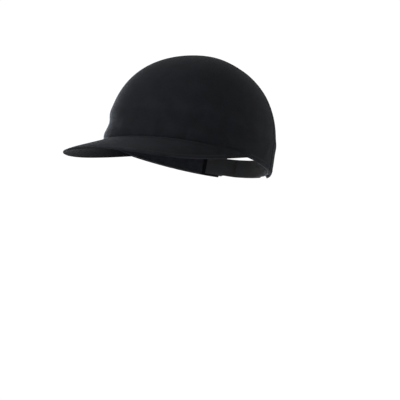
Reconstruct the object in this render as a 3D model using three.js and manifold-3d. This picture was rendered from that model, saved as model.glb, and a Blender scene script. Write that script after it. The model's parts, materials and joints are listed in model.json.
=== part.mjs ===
// A bump cap: a soft fabric cap with a curved visor, worn over a removable hard shell with foam pads,
// and closed at the back by a hook-and-loop strap.
//
// Millimetres. Everything is laid out on the plane of the rim, with the front towards -Y, the wearer's
// left towards +X and the crown towards +Z. At the end the whole cap is tipped back until it stands on
// z = 0, as on a table: on the two low sides of its visor and on the back of its hem.

import * as THREE from 'three';
import { mergeVertices } from 'three/addons/utils/BufferGeometryUtils.js';
import Module from 'manifold-3d';

const wasm = await Module();
wasm.setup();

// The rim's oval and the crown above it.
const rimHalfLength = 95.5;
const rimHalfWidth = 85;
const frontFullness = 0.16; // how much the rim is fuller in front of its middle than behind it
const endFullness = 0.12; // how much it is fuller at both ends than a plain oval
const crownHeight = 111.3;
const crownSquareness = 2.85; // 2 is a ball, and more keeps the wall upright for longer

// Every layer is placed by its inset, the distance in from the outside of the crown.
const gap = 0.3;
const fabric = 1.3;
const tape = { outer: fabric + gap, inner: 2.1 };
const sweatbandLayer = { outer: fabric + gap, inner: 3.4 };
const sweatbandHeight = 28;
const sweatbandEnd = 140; // degrees from the front, on each side

// The fabric panels: one wide front panel and two rear panels.
const sideSeam = 119; // degrees from the front
const seamTapeHalfWidth = 3.5; // degrees
const tapeTop = 104;

// The arched opening at the back.
const archHalfWidth = 36;
const archHeight = 47;
const archSpring = 11; // height at which its sides start to curve
const bindingWidth = 3;
const bindingLayer = { outer: -0.8, inner: 2.1 };

// The visor, a board between two covers, which hangs from the front of the rim.
const visorReach = 148.3; // from the middle of the rim to the tip of the visor
const visorDrop = 24.9; // of the tip below the plane of the rim
const visorCorner = 85; // degrees from the front, where the visor meets the hem
const visorFullness = 69; // half the width of the nearly straight front edge
const visorSide = { halfWidth: 87.9, forward: 125, drop: 34.7 }; // pulls the side edge out and down
const visorThickness = 3.2;
const coverThickness = 0.6;
const visorEdge = 1.1; // the turned edge of the top cover

// The strap closure across the opening, clear of the table that the hem stands on.
const strapLow = 2.5;
const strapHigh = 22.5;
const strapEnd = 143; // degrees from the front, where each strap is sewn in beside the sweatband
const strapHinge = 202; // where the outer strap bends when it is peeled open
const strapClimb = 9; // degrees over which the outer strap steps out past the binding
const strapTip = 164;
const innerStrapTip = 192;
const innerStrapLayer = { outer: 2.7, inner: 3.7 };
const loopTapeLayer = { outer: 1.8, inner: 2.4 };
const hookTapeLayer = { outer: 0.9, inner: 1.5 };
const outerStrapInset = -0.4;
const strapThickness = 1;

// The hard shell and what is on it.
const shellLayer = { outer: 5, inner: 7.2 };
const shellEdge = 31;
const trimWall = 0.7;
const trimLow = 29;
const trimHigh = 36;
const padLayer = { outer: 7.6, inner: 13.6 };
const patch = { from: 72, to: 100, low: 42, high: 64 };
const crownPatchLayer = { outer: fabric + gap, inner: 2.7 };
const shellPatchLayer = { outer: 3, inner: 4.7 };

// The crown's facets: one line every few degrees round it, and rows that are closer near the rim, where
// the wall is upright. Every layer lies on these same facets, so that close layers never cross.
const azimuthStep = 6;
const climbRows = 11;
const climbSpread = 1.4;

const radians = THREE.MathUtils.degToRad;
const rows = Array.from({ length: climbRows + 1 }, (_, i) => 90 * (i / climbRows) ** climbSpread);

// A point of the smooth crown. Azimuth is in degrees from the front towards the wearer's left, climb is
// in degrees from the rim at 0 to the top at 90, and inset is the distance in from the outside.
function smoothPoint(azimuth, climb, inset) {
  const forward = Math.cos(radians(azimuth));
  const sideways = Math.sin(radians(azimuth)) * (1 + frontFullness * forward + endFullness * forward ** 2);
  const outward = Math.cos(radians(climb));
  const upward = Math.sin(radians(climb)) ** (2 / crownSquareness);
  return new THREE.Vector3(
    (rimHalfWidth - inset) * sideways * outward,
    -(rimHalfLength - inset) * forward * outward,
    (crownHeight - inset) * upward,
  );
}

// The same point on the crown's facets: each cell between the lines is two triangles.
function crownPoint(azimuth, climb, inset) {
  const column = Math.floor(azimuth / azimuthStep);
  const row = Math.min(climbRows - 1, rows.findLastIndex((line) => line <= climb));
  const u = azimuth / azimuthStep - column;
  const v = (climb - rows[row]) / (rows[row + 1] - rows[row]);
  const corner = (i, j) => smoothPoint((column + i) * azimuthStep, rows[row + j], inset);
  const between = u > v ? corner(1, 0) : corner(0, 1);
  return new THREE.Vector3()
    .addScaledVector(corner(0, 0), 1 - Math.max(u, v))
    .addScaledVector(between, Math.abs(u - v))
    .addScaledVector(corner(1, 1), Math.min(u, v))
    .toArray();
}

// The climb at which the facets of the crown's outside are a given height above the rim.
function climbAt(height) {
  if (height >= crownHeight) return 90;
  const heightOf = (climb) => smoothPoint(0, climb, 0).z;
  const above = rows.findIndex((climb) => heightOf(climb) > height);
  const [low, high] = [rows[above - 1], rows[above]];
  const share = (height - heightOf(low)) / (heightOf(high) - heightOf(low));
  return THREE.MathUtils.lerp(low, high, share);
}

// The two ends of a range and the facet lines between them, leaving out a line too close to an end.
function linesBetween(from, to, lines) {
  const leastStep = 0.5;
  const inside = lines.filter((line) => line > from + leastStep && line < to - leastStep);
  return [from, ...inside, to];
}

// A closed solid between two surfaces, each a function of a place along it and a place across it.
// A ring closes on itself along, and a pole draws its far edge into one point.
function slab(alongLines, acrossLines, outerAt, innerAt, { ring = false, pole = false } = {}) {
  const along = alongLines.length - 1;
  const across = acrossLines.length - 1;
  const columns = ring ? along : along + 1;
  const positions = [];
  for (const surfaceAt of [outerAt, innerAt]) {
    for (const u of alongLines.slice(0, columns)) {
      for (const v of acrossLines) positions.push(...surfaceAt(u, v));
    }
  }
  const at = (side, i, j) => (side * columns + (i % columns)) * (across + 1) + j;
  const faces = [];
  const quad = (a, b, c, d) => faces.push(a, b, c, a, c, d);
  for (let i = 0; i < along; i++) {
    for (let j = 0; j < across; j++) {
      quad(at(0, i, j), at(0, i + 1, j), at(0, i + 1, j + 1), at(0, i, j + 1));
      quad(at(1, i, j), at(1, i, j + 1), at(1, i + 1, j + 1), at(1, i + 1, j));
    }
    quad(at(0, i, 0), at(1, i, 0), at(1, i + 1, 0), at(0, i + 1, 0));
    if (!pole) quad(at(0, i, across), at(0, i + 1, across), at(1, i + 1, across), at(1, i, across));
  }
  for (let j = 0; j < across && !ring; j++) {
    quad(at(0, 0, j), at(0, 0, j + 1), at(1, 0, j + 1), at(1, 0, j));
    quad(at(0, along, j), at(1, along, j), at(1, along, j + 1), at(0, along, j + 1));
  }
  const geometry = new THREE.BufferGeometry();
  geometry.setAttribute('position', new THREE.Float32BufferAttribute(positions, 3));
  geometry.setIndex(faces);
  return withoutSlivers(geometry);
}

// The same geometry with shared corners merged and with no triangle that has lost its area.
function withoutSlivers(geometry) {
  const merged = mergeVertices(geometry, 1e-3);
  const corners = merged.index.array;
  const kept = [];
  for (let i = 0; i < corners.length; i += 3) {
    const [a, b, c] = [corners[i], corners[i + 1], corners[i + 2]];
    if (a !== b && b !== c && c !== a) kept.push(a, b, c);
  }
  merged.setIndex(kept);
  return merged;
}

// A layer of the crown between two azimuths and two heights. Its insets are numbers, or functions of
// the azimuth where the layer steps in or out.
function crownLayer({ from, to, low, high = crownHeight, outer, inner }) {
  const firstTurn = Math.floor(from / azimuthStep);
  const turns = Array.from({ length: 1 + 360 / azimuthStep }, (_, i) => (firstTurn + i) * azimuthStep);
  const azimuths = linesBetween(from, to, turns);
  const climbs = linesBetween(climbAt(low), climbAt(high), rows);
  const insetAt = (inset, azimuth) => (typeof inset === 'function' ? inset(azimuth) : inset);
  const surface = (inset) => (azimuth, climb) => crownPoint(azimuth, climb, insetAt(inset, azimuth));
  const shape = { ring: to - from >= 360, pole: high >= crownHeight };
  return slab(azimuths, climbs, surface(outer), surface(inner), shape);
}

function solidOf(geometry) {
  const bare = geometry.clone();
  bare.deleteAttribute('normal');
  bare.deleteAttribute('uv');
  const merged = mergeVertices(bare, 1e-3);
  const triVerts = new Uint32Array(merged.index.array);
  const vertProperties = merged.attributes.position.array;
  return new wasm.Manifold(new wasm.Mesh({ numProp: 3, vertProperties, triVerts }));
}

function geometryOf(solid) {
  const { vertProperties, triVerts } = solid.getMesh();
  const geometry = new THREE.BufferGeometry();
  geometry.setAttribute('position', new THREE.BufferAttribute(vertProperties, 3));
  geometry.setIndex(new THREE.BufferAttribute(triVerts, 1));
  return geometry;
}

const cut = (body, ...tools) =>
  geometryOf(tools.reduce((left, tool) => left.subtract(solidOf(tool)), solidOf(body)));
const common = (body, tool) => geometryOf(solidOf(body).intersect(solidOf(tool)));

// A tall prism over the plan of the crown between two azimuths. Its sides stand back by a margin, or
// stand out where the margin is negative.
function wedge(from, to, margin) {
  const beyond = 2;
  const [fromX, fromY] = crownPoint(from, 0, 0);
  const [toX, toY] = crownPoint(to, 0, 0);
  const start = new THREE.Vector2(fromX, fromY);
  const end = new THREE.Vector2(toX, toY);
  const middle = start.clone().normalize().add(end.clone().normalize()).normalize();
  const halfAngle = Math.acos(middle.dot(start.clone().normalize()));
  const corner = middle.clone().multiplyScalar(margin / Math.sin(halfAngle));
  const outline = [
    corner,
    start.clone().multiplyScalar(beyond).add(corner),
    middle.clone().multiplyScalar(2 * beyond * rimHalfLength),
    end.clone().multiplyScalar(beyond).add(corner),
  ];
  const prism = new THREE.ExtrudeGeometry(new THREE.Shape(outline), {
    depth: 2 * crownHeight,
    bevelEnabled: false,
  });
  prism.translate(0, 0, -crownHeight / 2);
  return mergeVertices(prism);
}

// A bar of the opening's arched outline through the back of the crown, smaller all round by an offset.
function arch(offset, low) {
  const halfWidth = archHalfWidth - offset;
  const outline = new THREE.Shape();
  outline.moveTo(-halfWidth, low);
  outline.lineTo(halfWidth, low);
  outline.lineTo(halfWidth, archSpring);
  outline.absellipse(0, archSpring, halfWidth, archHeight - archSpring - offset, 0, Math.PI);
  const bar = new THREE.ExtrudeGeometry(outline, {
    depth: rimHalfLength,
    bevelEnabled: false,
    curveSegments: 16,
  });
  bar.rotateX(Math.PI / 2);
  bar.translate(0, 1.5 * rimHalfLength, 0);
  return mergeVertices(bar);
}

// The crown is one dome of fabric, opened at the back and parted along its seams.
function crownPanels() {
  const belowHem = -5;
  const dome = crownLayer({ from: 0, to: 360, low: 0, outer: 0, inner: fabric });
  const opened = cut(dome, arch(0, belowHem));
  return {
    front: cut(opened, wedge(sideSeam, 360 - sideSeam, -gap / 2)),
    leftRear: common(opened, wedge(sideSeam, 180, gap / 2)),
    rightRear: common(opened, wedge(180, 360 - sideSeam, gap / 2)),
  };
}

function rearBinding() {
  const belowHem = -5;
  const bandOfDome = crownLayer({ from: 120, to: 240, low: 0, high: 60, ...bindingLayer });
  const aboveHem = 1.5;
  const frame = cut(arch(gap, aboveHem), arch(gap + bindingWidth, belowHem));
  return common(bandOfDome, frame);
}

function seamTape(azimuth, low) {
  const from = azimuth - seamTapeHalfWidth;
  const to = azimuth + seamTapeHalfWidth;
  return crownLayer({ from, to, low, high: tapeTop, ...tape });
}

function sweatband() {
  const low = gap;
  return crownLayer({ from: -sweatbandEnd, to: sweatbandEnd, low, high: sweatbandHeight, ...sweatbandLayer });
}

// Where a line of the visor's fan, from -1 at its right corner to 1 at its left, leaves the seam, where
// it ends on the outer edge, and which way the visor's upper side faces along it.
function visorLine(station) {
  const side = Math.sign(station) || 1;
  const evenness = 1.45; // spreads the lines so that they stay square to the seam
  const ends = (share) => {
    const [seamX, seamY] = crownPoint(share * visorCorner, 0, -gap);
    const [cornerX, cornerY] = crownPoint(visorCorner, 0, -gap);
    const edge = new THREE.CubicBezierCurve3(
      new THREE.Vector3(0, -visorReach, -visorDrop),
      new THREE.Vector3(visorFullness, -visorReach, -visorDrop),
      new THREE.Vector3(visorSide.halfWidth, -visorSide.forward, -visorSide.drop),
      new THREE.Vector3(cornerX, cornerY, -gap),
    );
    return [new THREE.Vector3(seamX, seamY, -gap), edge.getPoint(1 - (1 - share) ** evenness)];
  };
  const share = Math.abs(station);
  const nudge = 0.01;
  const [seam, edge] = ends(share);
  const middleAt = (where) => new THREE.Vector3().addVectors(...ends(where)).multiplyScalar(0.5);
  const along = middleAt(share + nudge).sub(middleAt(Math.max(0, share - nudge)));
  const up = along.cross(seam.clone().sub(edge)).normalize();
  const mirror = new THREE.Vector3(side, 1, 1);
  return { seam: seam.multiply(mirror), edge: edge.multiply(mirror), up: up.multiply(mirror) };
}

// A layer of the visor between two depths below its upper side, kept in from its edges by a margin.
function visorLayer({ top, bottom, margin, span }) {
  const along = 34;
  const across = 3;
  const stations = Array.from({ length: along + 1 }, (_, i) => span * (1 - (2 * i) / along));
  const shares = Array.from({ length: across + 1 }, (_, i) => i / across);
  const surface = (depth) => (station, share) => {
    const { seam, edge, up } = visorLine(station);
    const length = seam.distanceTo(edge);
    const place = THREE.MathUtils.lerp(margin / length, 1 - margin / length, share);
    return seam.lerp(edge, place).addScaledVector(up, -depth).toArray();
  };
  return slab(stations, shares, surface(top), surface(bottom));
}

// The top cover's turned edge closes the visor all round, and the board and the under cover lie in it.
function visorPieces() {
  const boardTop = coverThickness + gap;
  const underTop = visorThickness - coverThickness;
  const inside = { margin: visorEdge + gap, span: 0.86 };
  const whole = visorLayer({ top: 0, bottom: visorThickness, margin: 0, span: 0.95 });
  const hollow = visorLayer({ top: coverThickness, bottom: 1.5 * visorThickness, margin: visorEdge, span: 0.87 });
  return {
    topCover: cut(whole, hollow),
    board: visorLayer({ top: boardTop, bottom: underTop - gap, ...inside }),
    underCover: visorLayer({ top: underTop, bottom: visorThickness, ...inside }),
  };
}

// A band of the strap closure.
function strapBand({ from, to, outer, inner, edge = 0 }) {
  return crownLayer({ from, to, low: strapLow + edge, high: strapHigh - edge, outer, inner });
}

// The outer strap leaves its hinge line behind the binding and steps out in front of it.
function outerStrap() {
  const insetAt = (azimuth) => {
    const share = THREE.MathUtils.smoothstep(strapHinge - azimuth, 0, strapClimb);
    return THREE.MathUtils.lerp(innerStrapLayer.outer, outerStrapInset, share);
  };
  return strapBand({
    from: strapTip,
    to: strapHinge - gap / 2,
    outer: insetAt,
    inner: (azimuth) => insetAt(azimuth) + strapThickness,
  });
}

// The shell is a vented dome. Tall slots ring its upper half, and short ones stand between the pads.
function hardShell() {
  const through = { outer: shellLayer.outer - 1, inner: shellLayer.inner + 1 };
  const slot = (azimuth, halfWidth, low, high) =>
    crownLayer({ from: azimuth - halfWidth, to: azimuth + halfWidth, low, high, ...through });
  const slots = [];
  for (let azimuth = 15; azimuth < 360; azimuth += 30) slots.push(slot(azimuth, 2.5, 76, 95));
  for (const azimuth of [48, 128]) {
    slots.push(slot(azimuth, 3.5, 46, 60), slot(360 - azimuth, 3.5, 46, 60));
  }
  return cut(crownLayer({ from: 0, to: 360, low: shellEdge, ...shellLayer }), ...slots);
}

// A soft channel pressed over the edge of the shell.
function shellTrim() {
  const around = { from: 0, to: 360, high: trimHigh };
  const { outer, inner } = shellLayer;
  const channel = crownLayer({
    ...around,
    low: trimLow,
    outer: outer - gap - trimWall,
    inner: inner + gap + trimWall,
  });
  const groove = crownLayer({
    from: 0,
    to: 360,
    low: shellEdge - gap,
    high: trimHigh + 6,
    outer: outer - gap,
    inner: inner + gap,
  });
  return cut(channel, groove);
}

const pad = (from, to, low, high) => crownLayer({ from, to, low, high, ...padLayer });

const colours = {
  crownFabric: { color: 0x1c1d20, roughness: 0.9 },
  lining: { color: 0x232427, roughness: 0.95 },
  webbing: { color: 0x1a1a1c, roughness: 0.85 },
  tapes: { color: 0x141416, roughness: 1 },
  board: { color: 0x2a2b2d, roughness: 0.6 },
  label: { color: 0xd8d8d4, roughness: 0.8 },
  shell: { color: 0x26282b, roughness: 0.35 },
  trim: { color: 0x161618, roughness: 0.7 },
  foam: { color: 0x333438, roughness: 0.95 },
};

function piece(name, geometry, finish) {
  const mesh = new THREE.Mesh(geometry, new THREE.MeshStandardMaterial({ ...colours[finish], metalness: 0 }));
  mesh.name = name;
  return mesh;
}

function capPieces() {
  const panels = crownPanels();
  const visor = visorPieces();
  const mirrored = ({ from, to, ...rest }) => ({ from: 360 - to, to: 360 - from, ...rest });
  const tapeLow = sweatbandHeight + 3;
  return [
    piece('front_panel', panels.front, 'crownFabric'),
    piece('left_rear_panel', panels.leftRear, 'crownFabric'),
    piece('right_rear_panel', panels.rightRear, 'crownFabric'),
    piece('rear_opening_binding', rearBinding(), 'webbing'),
    piece('left_seam_tape', seamTape(sideSeam, tapeLow), 'lining'),
    piece('right_seam_tape', seamTape(360 - sideSeam, tapeLow), 'lining'),
    piece('rear_seam_tape', seamTape(180, archHeight + 4), 'lining'),
    piece('sweatband', sweatband(), 'lining'),
    piece('care_label', crownLayer({ from: 110, to: 124, low: 3, high: 18, outer: 3.7, inner: 4 }), 'label'),
    piece('left_loop_patch', crownLayer({ ...patch, ...crownPatchLayer }), 'tapes'),
    piece('right_loop_patch', crownLayer({ ...mirrored(patch), ...crownPatchLayer }), 'tapes'),
    piece('visor_top_cover', visor.topCover, 'crownFabric'),
    piece('visor_board', visor.board, 'board'),
    piece('visor_under_cover', visor.underCover, 'crownFabric'),
    piece('inner_strap', strapBand({ from: strapEnd, to: innerStrapTip, ...innerStrapLayer }), 'webbing'),
    piece('loop_tape', strapBand({ from: 167, to: innerStrapTip - 2, edge: 1.5, ...loopTapeLayer }), 'tapes'),
    piece(
      'outer_strap_root',
      strapBand({ from: strapHinge + gap / 2, to: 360 - strapEnd, ...innerStrapLayer }),
      'webbing',
    ),
  ];
}

function strapPieces() {
  return [
    piece('outer_strap', outerStrap(), 'webbing'),
    piece('hook_tape', strapBand({ from: 166, to: innerStrapTip - 1, edge: 1.5, ...hookTapeLayer }), 'tapes'),
  ];
}

function insertPieces() {
  return [
    piece('shell', hardShell(), 'shell'),
    piece('shell_edge_trim', shellTrim(), 'trim'),
    piece('front_pad', pad(-38, 38, 39, 62), 'foam'),
    piece('left_pad', pad(58, 104, 39, 62), 'foam'),
    piece('rear_pad', pad(150, 210, 39, 62), 'foam'),
    piece('right_pad', pad(256, 302, 39, 62), 'foam'),
    piece('crown_pad', pad(0, 360, 102, crownHeight), 'foam'),
    piece('left_hook_patch', crownLayer({ ...patch, ...shellPatchLayer }), 'tapes'),
    piece('right_hook_patch', crownLayer({ ...patch, from: 260, to: 288, ...shellPatchLayer }), 'tapes'),
  ];
}

// The lowest that any corner of these meshes reaches once the cap is tipped back.
function lowestCorner(meshes, tilt) {
  let lowest = Infinity;
  for (const { geometry } of meshes) {
    const position = geometry.getAttribute('position');
    for (let i = 0; i < position.count; i++) {
      const height = position.getZ(i) * Math.cos(tilt) - position.getY(i) * Math.sin(tilt);
      lowest = Math.min(lowest, height);
    }
  }
  return lowest;
}

// Tips the cap back until its visor and its hem are equally low, found by halving the angle's range.
function standOnTable(cap) {
  const meshes = cap.children.flatMap((body) => body.children);
  const named = (...names) => meshes.filter((mesh) => names.includes(mesh.name));
  const visor = named('visor_top_cover');
  const hem = named('left_rear_panel', 'right_rear_panel');
  let [low, high] = [0, radians(30)];
  for (let i = 0; i < 40; i++) {
    const tilt = (low + high) / 2;
    if (lowestCorner(visor, tilt) < lowestCorner(hem, tilt)) low = tilt;
    else high = tilt;
  }
  cap.rotation.x = -low;
  cap.updateMatrixWorld(true);
  const box = new THREE.Box3().setFromObject(cap, true);
  const centre = box.getCenter(new THREE.Vector3());
  cap.position.set(-centre.x, -centre.y, -box.min.z);
}

const cap = new THREE.Group();
for (const pieces of [capPieces(), strapPieces(), insertPieces()]) {
  cap.add(new THREE.Group().add(...pieces));
}
standOnTable(cap);

const group = new THREE.Group().add(cap);

export default group;
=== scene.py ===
# %% [markdown]
# # A bump cap
# A soft cap of plain black cloth with a short curved visor. Inside it sits a hard vented shell on foam
# pads, and at the back an arched opening is closed by a strap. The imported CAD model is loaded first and
# stays as it is: it says where everything goes, and each soft or moulded part is modelled around it.

# %% Load the frame
import json
import math

import bpy
import numpy as np
from mathutils import Matrix, Vector


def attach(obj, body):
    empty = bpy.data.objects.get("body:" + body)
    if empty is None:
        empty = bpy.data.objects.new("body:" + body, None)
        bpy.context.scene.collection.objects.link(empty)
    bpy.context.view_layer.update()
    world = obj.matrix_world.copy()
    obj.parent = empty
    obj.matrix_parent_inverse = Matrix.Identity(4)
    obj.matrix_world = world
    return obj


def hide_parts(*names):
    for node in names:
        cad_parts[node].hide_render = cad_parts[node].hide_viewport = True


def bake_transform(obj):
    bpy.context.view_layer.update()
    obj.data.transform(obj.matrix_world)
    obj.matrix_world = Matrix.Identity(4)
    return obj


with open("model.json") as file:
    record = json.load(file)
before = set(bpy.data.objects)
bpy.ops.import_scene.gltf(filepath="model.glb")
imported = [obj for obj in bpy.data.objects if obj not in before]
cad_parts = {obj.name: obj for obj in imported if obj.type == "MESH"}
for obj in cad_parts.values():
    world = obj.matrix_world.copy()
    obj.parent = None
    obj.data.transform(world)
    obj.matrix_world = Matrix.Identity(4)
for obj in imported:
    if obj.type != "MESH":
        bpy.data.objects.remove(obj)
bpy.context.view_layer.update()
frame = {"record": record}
bpy.ops.object.select_all(action="DESELECT")

# %% [markdown]
# ## The plane of the rim
# The cap stands tipped back on its visor and hem, so its own plane, through the rim, is tilted. Every
# piece is easier to lay out on that plane: in millimetres, with the front towards -Y and the crown
# towards +Z. The record's head opening gives the plane, and one function carries points out of it.

# %% From the rim's plane to the frame
MM = 0.001
head_opening = next(m for m in frame["record"]["mounts"] if m["name"] == "head_opening")
rim_centre = np.array(head_opening["pos_m"])
rim_up = -np.array(head_opening["axis"])
rim_side = np.array([1.0, 0.0, 0.0])
rim_back = np.cross(rim_up, rim_side)
rim_axes = np.array([rim_side, rim_back, rim_up])


def in_frame(points):
    """Points on the rim's plane, in millimetres, as points of the frame, in metres."""
    return rim_centre + (points * MM) @ rim_axes


print("the rim is tipped back by", round(math.degrees(math.asin(rim_up[1])), 2), "degrees")

# %% [markdown]
# ## The crown's form
# The crown is a ball drawn longer than it is wide, fuller in front than behind, with a wall that stands
# upright before it turns in to the top. A place on it is an azimuth, in degrees from the front towards
# the wearer's left, and a climb, from 0 at the rim to 90 at the top. Each layer has its inset, the
# distance in from the outside.

# %% Points on the crown
HALF_LENGTH = 95.5
HALF_WIDTH = 85.0
FRONT_FULLNESS = 0.16
END_FULLNESS = 0.12
CROWN_HEIGHT = 111.3
SQUARENESS = 2.85
ROW_SPREAD = 1.4  # rows lie closer near the rim, where the wall is upright


def crown_point(azimuth, climb, inset=0.0):
    """Points of the crown, in millimetres on the rim's plane. Angles in degrees, as arrays or numbers."""
    azimuth, climb, inset = np.broadcast_arrays(azimuth, climb, inset)
    forward = np.cos(np.radians(azimuth))
    sideways = np.sin(np.radians(azimuth)) * (1 + FRONT_FULLNESS * forward + END_FULLNESS * forward**2)
    outward = np.cos(np.radians(climb))
    upward = np.sin(np.radians(np.clip(climb, 0, 90))) ** (2 / SQUARENESS)
    x = (HALF_WIDTH - inset) * sideways * outward
    y = -(HALF_LENGTH - inset) * forward * outward
    z = (CROWN_HEIGHT - inset) * upward
    return np.stack([x, y, z], -1)


def climb_at(height):
    """The climb at which the crown's outside is this high above the rim."""
    share = np.clip(np.asarray(height, float) / CROWN_HEIGHT, 0, 1)
    return np.degrees(np.arcsin(share ** (SQUARENESS / 2)))


def outward_at(azimuth, climb):
    """Which way the crown faces, as unit vectors."""
    step = crown_point(azimuth, climb, -1.0) - crown_point(azimuth, climb, 0.0)
    return step / np.linalg.norm(step, axis=-1, keepdims=True)


print("the wall stands up to about", round(float(crown_point(0, 20)[2])), "mm before it turns in")

# %% [markdown]
# ## Laying cloth on a form
# Cloth starts flat, so each piece of it starts as Blender's flat grid. Edit-mode operators can't follow
# a formula, so the grid's points are taken to their places in code, which is how a cutter's flat panel
# is laid on the last. Each piece also keeps a UV map of where every point was on the flat cloth, in
# metres, so that weave and ribs run along the piece at their true size. Where cloth rubs, a second value
# on each point says how worn it is.

# %% Lay a grid
def lay(name, columns, rows, place, cloth=None, worn=None):
    """A grid whose points, from 0 to 1 across and up, go where place says. Doubled points are merged."""
    bpy.ops.object.select_all(action="DESELECT")
    bpy.ops.mesh.primitive_grid_add(x_subdivisions=columns, y_subdivisions=rows, size=2)
    piece = bpy.context.object
    piece.name = piece.data.name = name
    flat = np.empty(len(piece.data.vertices) * 3)
    piece.data.vertices.foreach_get("co", flat)
    u, v = (flat.reshape(-1, 3)[:, :2].T + 1) / 2
    placed = place(u, v)
    piece.data.vertices.foreach_set("co", in_frame(placed).ravel())
    corners = np.empty(len(piece.data.loops), int)
    piece.data.loops.foreach_get("vertex_index", corners)
    on_cloth = (cloth(u, v) if cloth else np.stack([u * 100, v * 25], -1)) * MM
    piece.data.uv_layers[0].data.foreach_set("uv", on_cloth[corners].ravel())
    if worn:
        piece.data.attributes.new("wear", "FLOAT", "POINT").data.foreach_set("value", worn(u, v))
    bpy.ops.object.mode_set(mode="EDIT")
    bpy.ops.mesh.select_all(action="SELECT")
    bpy.ops.mesh.remove_doubles(threshold=0.01 * MM)
    bpy.ops.object.mode_set(mode="OBJECT")
    return piece


def apply_all(piece):
    """Applies the piece's modifiers in turn, and shades it smooth except at its sharp edges."""
    bpy.ops.object.select_all(action="DESELECT")
    piece.select_set(True)
    bpy.context.view_layer.objects.active = piece
    for name in [m.name for m in piece.modifiers]:
        bpy.ops.object.modifier_apply(modifier=name)
    bpy.ops.object.shade_smooth_by_angle(angle=math.radians(42))
    return piece


def thicken(piece, thickness, rounding=0.0, segments=3):
    """Gives a sheet its thickness, inwards, and rounds its edges. Both are in millimetres."""
    wall = piece.modifiers.new("thickness", "SOLIDIFY")
    wall.thickness = thickness * MM
    wall.offset = -1
    wall.use_quality_normals = True
    if rounding:
        edges = piece.modifiers.new("rounded_edges", "BEVEL")
        edges.width = rounding * MM
        edges.segments = segments
        edges.limit_method = "ANGLE"
        edges.angle_limit = math.radians(50)
    return apply_all(piece)


def cut_with(piece, tool):
    """Cuts the tool's volume out of the piece, and removes the tool."""
    cutter = piece.modifiers.new("cut", "BOOLEAN")
    cutter.operation = "DIFFERENCE"
    cutter.solver = "EXACT"
    cutter.object = tool
    apply_all(piece)
    bpy.data.objects.remove(tool)
    return piece


def settle(piece, body, slot, material, *stands_for):
    """The piece rides on a body, unless that is None, stands for CAD nodes, and gets its finish; its slot is
    not used.
    """
    piece.data.materials.clear()
    piece.data.materials.append(material)
    if body:
        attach(piece, body)
    if stands_for:
        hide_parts(*stands_for)
    print(piece.name, "has", len(piece.data.polygons), "faces")
    return piece


# %% [markdown]
# ## Materials
# Each material is named for what the real one is. A small function adds one node with its settings and
# links, and the patterns are sized from real millimetres: a pattern that is finer than the view can
# show is drawn coarser, and says so. Cloth patterns follow the cloth's own UV map, and moulded or
# foamed ones read the piece's place in space.

# %% Node helper and colours
def linear(hex_colour):
    """An sRGB hex colour as linear RGBA."""
    parts = [int(hex_colour[i : i + 2], 16) / 255 for i in (1, 3, 5)]
    bent = [c / 12.92 if c <= 0.04045 else ((c + 0.055) / 1.055) ** 2.4 for c in parts]
    return (*bent, 1.0)


def add_node(tree, kind, settings=None, inputs=None):
    """Adds a node, with its settings, and its inputs as values or links."""
    node = tree.nodes.new(kind)
    for key, value in (settings or {}).items():
        setattr(node, key, value)
    for key, value in (inputs or {}).items():
        if isinstance(value, bpy.types.NodeSocket):
            tree.links.new(value, node.inputs[key])
        else:
            node.inputs[key].default_value = value
    return node


def start_material(name, **shader_values):
    """A new material and its tree, with the shader's plain values set on its sockets."""
    material = bpy.data.materials.new(name)
    material.use_nodes = True
    shader = material.node_tree.nodes["Principled BSDF"]
    for key, value in shader_values.items():
        shader.inputs[key.replace("_", " ")].default_value = value
    return material, material.node_tree, shader


def threads_along(tree, coordinate, spacing):
    """Rising and falling once for every thread along a coordinate in metres. Spacing is in millimetres."""
    per_metre = math.tau / (spacing * MM)
    turns = add_node(tree, "ShaderNodeMath", {"operation": "MULTIPLY"}, {0: coordinate, 1: per_metre})
    return add_node(tree, "ShaderNodeMath", {"operation": "SINE"}, {0: turns.outputs[0]}).outputs[0]


def tinted(tree, shader, base, lighter, size, faded=None):
    """Slow changes of colour, in patches of this size in millimetres, and a faded colour where worn."""
    place = add_node(tree, "ShaderNodeTexCoord").outputs["Object"]
    scale = 1 / (size * MM)
    patches = add_node(
        tree, "ShaderNodeTexNoise", {}, {"Vector": place, "Scale": scale, "Detail": 3.0, "Roughness": 0.6}
    )
    ramp = add_node(
        tree, "ShaderNodeMapRange", {}, {"Value": patches.outputs["Fac"], "From Min": 0.3, "From Max": 0.7}
    )
    mixed = add_node(
        tree, "ShaderNodeMix", {"data_type": "RGBA"},
        {0: ramp.outputs[0], 6: linear(base), 7: linear(lighter)},
    )
    if faded:
        wear = add_node(tree, "ShaderNodeAttribute", {"attribute_name": "wear"}).outputs["Fac"]
        patchy = add_node(tree, "ShaderNodeMath", {"operation": "MULTIPLY"}, {0: wear, 1: ramp.outputs[0]})
        mixed = add_node(
            tree, "ShaderNodeMix", {"data_type": "RGBA"},
            {0: patchy.outputs[0], 6: mixed.outputs[2], 7: linear(faded)},
        )
    tree.links.new(mixed.outputs[2], shader.inputs["Base Color"])


print("a mid grey in linear light is", round(linear("#808080")[0], 3))

# %% [markdown]
# ### Woven cloth
# Crown and visor are a plain-woven nylon with a dull, slightly dry hand. Its threads are about 0.35 mm
# apart, which is too fine to show, so the weave is drawn at 0.9 mm. Black cloth is never quite black:
# fibre ends catch light at the edges of the form, which is what sheen stands for, and dye takes
# unevenly, so the colour drifts a little. Along the hem and the visor's edge, where it rubs, it goes
# grey. Lining, sweatband and label are the same idea with other threads: a finer knit, a looped jersey,
# and a pale satin.

# %% Woven and knitted materials
FIBRE_SIZE = 0.8


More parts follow.
